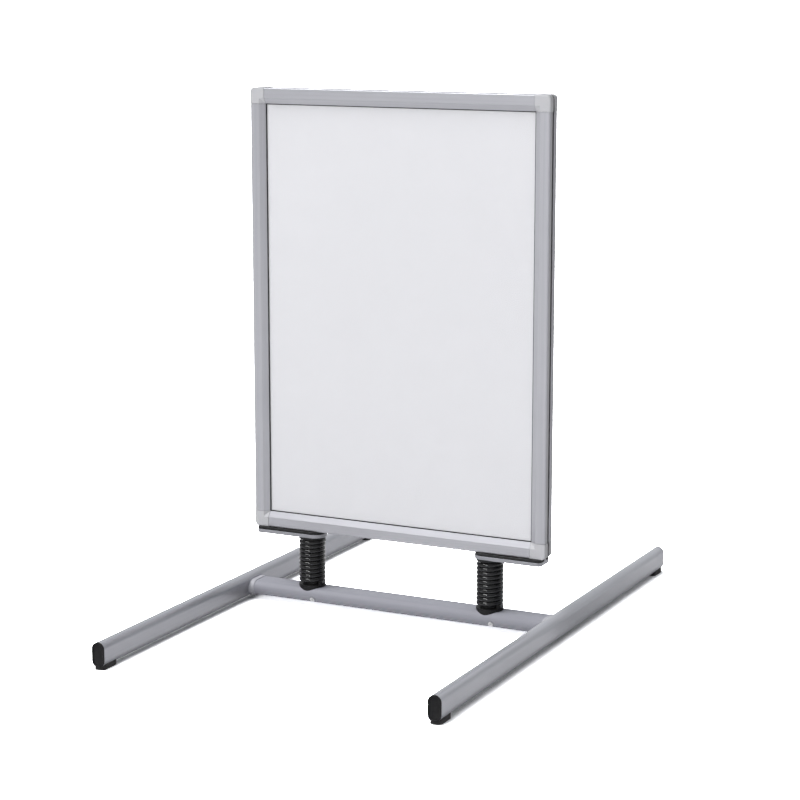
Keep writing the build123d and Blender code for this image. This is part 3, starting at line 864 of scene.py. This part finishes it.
class SIGN_OT_springs(Operator):
    """Draw both coil springs as round wire and finish their plugs"""

    bl_idname = "sidewalk_sign.springs"
    bl_label = "Springs"

    def execute(self, context):
        sizes = context.scene.sign_sizes
        black = context.scene.sign_colours.black
        wire = make_finish(
            "spring_coat", black, roughness=(0.08, 0.11), specular=0.4,
            stretch=even_grain(1100.0), cloud=30.0, contrast=0.15, relief=0.15,
            edge_width=0.0002, edge_tone=1.4, dust=0.05, scuffs=0.10,
        )
        for hand in HANDS:
            make_spring(hand, sizes, wire)
        cast = make_finish(
            "plug_coat", black, roughness=(0.4, 0.55), specular=0.2, stretch=even_grain(800.0),
            contrast=0.15, relief=0.3, edge_width=sizes.edge_round, edge_tone=1.7, dust=0.06,
            scuffs=0.12,
        )
        dress(SPRING_PLUGS, cast)
        return {"FINISHED"}


class SIGN_OT_ground_frame(Operator):
    """Finish the feet and crossbar, weld them, and finish the caps and pads"""

    bl_idname = "sidewalk_sign.ground_frame"
    bl_label = "Ground frame"

    def execute(self, context):
        sizes = context.scene.sign_sizes
        colours = context.scene.sign_colours
        coat = {
            "cloud": 5.0, "contrast": 0.03, "relief": 0.05, "edge_width": sizes.edge_round,
            "edge_tone": 1.1, "dust": 0.03, "scuffs": 0.02,
        }
        lengthwise = make_finish(
            "foot_coat", colours.paint, roughness=(0.29, 0.34), metallic=0.5,
            stretch=drawn_grain("Y"), **coat,
        )
        dress(["left_foot", "right_foot"], lengthwise)
        tube = make_finish(
            "crossbar_coat", colours.crossbar, roughness=(0.6, 0.68),
            stretch=drawn_grain("X"), **coat,
        )
        dress(["crossbar"], tube)
        collar = make_finish(
            "collar_coat", tinted(colours.paint, 1.1), roughness=(0.55, 0.62), **coat,
        )
        dress(["crossbar_collars"], collar)
        for hand in HANDS:
            make_weld(hand, sizes, tube)
        plastic = make_finish(
            "cap_plastic", colours.black, roughness=(0.4, 0.5), specular=0.12,
            stretch=even_grain(1200.0), contrast=0.15, relief=0.2,
            edge_width=sizes.edge_round * 1.5, edge_tone=1.8, dust=0.08, scuffs=0.2,
        )
        dress(END_CAPS, plastic)
        rubber = make_finish(
            "pad_rubber", colours.black, roughness=(0.6, 0.8), specular=0.35,
            stretch=even_grain(500.0), contrast=0.2, relief=0.35,
            edge_width=sizes.edge_round * 1.5, edge_tone=1.7, dust=0.15, scuffs=0.1,
        )
        dress(GROUND_PADS, rubber)
        return {"FINISHED"}


class SIGN_OT_stage(Operator):
    """Set up the pale floor, the soft lamps and the camera"""

    bl_idname = "sidewalk_sign.stage"
    bl_label = "Studio"

    def execute(self, context):
        studio = context.scene.sign_studio
        self.make_floor()
        self.make_world(studio)
        make_softbox(
            "front_softbox", studio.front_box, FRONT_BOX_SIZE, FRONT_BOX_PLACE, FRONT_BOX_TARGET
        )
        make_lamp("key_lamp", studio.key_strength, KEY_SPREAD, KEY_AIM)
        make_lamp("top_lamp", studio.top_strength, TOP_SPREAD, TOP_AIM)
        self.make_camera(studio)
        context.scene.view_settings.view_transform = "Standard"
        return {"FINISHED"}

    def make_floor(self):
        mesh = bmesh.new()
        bmesh.ops.create_grid(mesh, x_segments=1, y_segments=1, size=FLOOR_REACH)
        floor = object_from("studio_floor", mesh)
        floor.data.materials.append(self.floor_material())

    def floor_material(self):
        """A matt floor that looks white, but for the shade close beside the feet."""
        plain, reflected, shaded, bright = grey(0.78), grey(0.85), grey(0.85), grey(4.6)
        material, tree, _ = new_material("pale_floor")
        tree.nodes.clear()
        seen, direct = seen_rays(tree)
        unseen = add_mix(tree, seen, plain, reflected)
        contact = tree.nodes.new("ShaderNodeAmbientOcclusion")
        contact.samples = CONTACT_SAMPLES
        contact.inputs["Distance"].default_value = CONTACT_REACH
        openness = add_range(tree, contact.outputs["AO"], *CONTACT_OPEN)
        place = tree.nodes.new("ShaderNodeNewGeometry").outputs["Position"]
        outward = add_math(tree, "ABSOLUTE", add_split(tree, place)["X"])
        between = add_range(tree, outward, *FOOT_SHADE)
        clear = add_math(tree, "MAXIMUM", openness, between)
        lit = add_mix(tree, clear, shaded, bright)
        surface = tree.nodes.new("ShaderNodeBsdfDiffuse")
        tree.links.new(add_mix(tree, direct, unseen, lit), surface.inputs["Color"])
        result = tree.nodes.new("ShaderNodeOutputMaterial")
        tree.links.new(surface.outputs[0], result.inputs["Surface"])
        return material

    def wall_level(self, tree, direction, before, after):
        """The light of two facing walls, by the square of one direction."""
        share = add_math(tree, "MULTIPLY", direction, direction)
        level = add_range(tree, direction, -WALL_BLEND, WALL_BLEND, before, after)
        return add_math(tree, "MULTIPLY", share, level)

    def make_world(self, studio):
        """A room whose four walls, ceiling and low band each have their own level."""
        world = bpy.data.worlds.new("soft_room")
        world.use_nodes = True
        tree = world.node_tree
        tree.nodes.clear()
        coords = tree.nodes.new("ShaderNodeTexCoord")
        across, along, up = add_split(tree, coords.outputs["Generated"])
        side = self.wall_level(tree, across, studio.room_left, studio.room_right)
        end = self.wall_level(tree, along, studio.room_front, studio.room_back)
        level_share = add_math(tree, "SUBTRACT", NEARLY_ONE, add_math(tree, "MULTIPLY", up, up))
        walls = add_math(tree, "DIVIDE", add_math(tree, "ADD", side, end), level_share)
        ceiling = add_range(tree, up, *CEILING_BAND)
        high = add_range(tree, up, *LOW_BAND)
        seen, direct = seen_rays(tree)
        horizon = add_range(tree, seen, 0.0, 1.0, studio.room_low, 1.0)
        lower = add_math(tree, "MULTIPLY", add_math(tree, "SUBTRACT", 1.0, high), horizon)
        middle = add_math(tree, "MULTIPLY", add_math(tree, "SUBTRACT", high, ceiling), walls)
        upper = add_math(tree, "MULTIPLY", ceiling, studio.ceiling)
        level = add_math(tree, "ADD", add_math(tree, "ADD", lower, middle), upper)
        room = tree.nodes.new("ShaderNodeBackground")
        tree.links.new(add_mix(tree, direct, ROOM_TINT, WHITE), room.inputs["Color"])
        shaded = add_math(tree, "MULTIPLY", level, add_math(tree, "SUBTRACT", 1.0, direct))
        tree.links.new(add_math(tree, "ADD", shaded, direct), room.inputs["Strength"])
        result = tree.nodes.new("ShaderNodeOutputWorld")
        tree.links.new(room.outputs[0], result.inputs["Surface"])
        bpy.context.scene.world = world

    def make_camera(self, studio):
        camera = bpy.data.cameras.new("photo_camera")
        camera.lens = studio.lens
        camera.sensor_width = SENSOR_WIDTH
        camera.clip_end = VIEW_REACH
        holder = bpy.data.objects.new("photo_camera", camera)
        holder.location = studio.camera_place
        holder.rotation_euler = (math.pi / 2 - studio.camera_pitch, 0.0, studio.camera_yaw)
        bpy.context.scene.collection.objects.link(holder)
        bpy.context.scene.camera = holder


class SIGN_PT_panel(Panel):
    """Lists the steps of the sign and its settings"""

    bl_label = "Sidewalk Sign"
    bl_idname = "SIGN_PT_panel"
    bl_space_type = "VIEW_3D"
    bl_region_type = "UI"
    bl_category = "Sign"

    def draw(self, context):
        layout = self.layout
        for step in STEPS:
            layout.operator(step.bl_idname)
        scene = context.scene
        for settings in (scene.sign_sizes, scene.sign_colours, scene.sign_studio):
            box = layout.box()
            for name in settings.__annotations__:
                box.prop(settings, name)


STEPS = (
    SIGN_OT_rails,
    SIGN_OT_pictures,
    SIGN_OT_brackets,
    SIGN_OT_springs,
    SIGN_OT_ground_frame,
    SIGN_OT_stage,
)
CLASSES = (SIGN_PG_sizes, SIGN_PG_colours, SIGN_PG_studio, *STEPS, SIGN_PT_panel)


def register():
    for cls in CLASSES:
        bpy.utils.register_class(cls)
    bpy.types.Scene.sign_sizes = PointerProperty(type=SIGN_PG_sizes)
    bpy.types.Scene.sign_colours = PointerProperty(type=SIGN_PG_colours)
    bpy.types.Scene.sign_studio = PointerProperty(type=SIGN_PG_studio)


def unregister():
    del bpy.types.Scene.sign_studio
    del bpy.types.Scene.sign_colours
    del bpy.types.Scene.sign_sizes
    for cls in reversed(CLASSES):
        bpy.utils.unregister_class(cls)


def main():
    register()
    bpy.ops.sidewalk_sign.rails()
    bpy.ops.sidewalk_sign.pictures()
    bpy.ops.sidewalk_sign.brackets()
    bpy.ops.sidewalk_sign.springs()
    bpy.ops.sidewalk_sign.ground_frame()
    bpy.ops.sidewalk_sign.stage()


if __name__ == "__main__":
    main()
